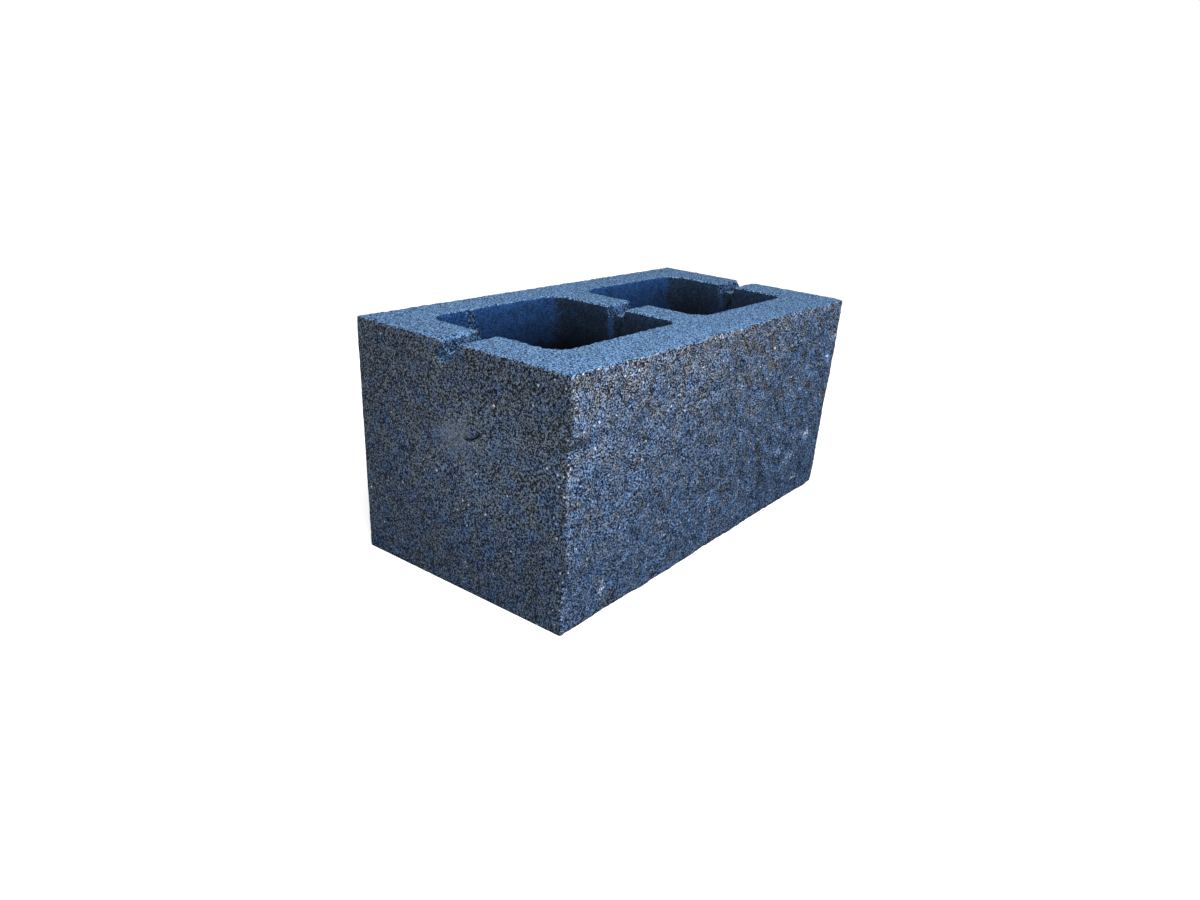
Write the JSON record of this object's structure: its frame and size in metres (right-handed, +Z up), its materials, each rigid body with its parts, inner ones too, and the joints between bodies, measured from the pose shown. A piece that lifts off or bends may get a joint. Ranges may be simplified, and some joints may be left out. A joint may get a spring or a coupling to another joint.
{
  "type": "hollow concrete block",
  "caption": "Dark split-face concrete masonry block with two tapered cores and a core-bar notch across the top of each web.",
  "frame": {"origin": "middle of the underside: halfway along the block, and halfway between the back face and the mean plane of the split face", "axes": "+X along the block, +Y from the split face towards the smooth back face, +Z up through the cores towards the notched bed"},
  "size_m": [0.39, 0.197, 0.178],
  "materials": {
    "concrete": "matte"
  },
  "bodies": {
    "root": {"concrete_block": "concrete"}
  },
  "joints": []
}
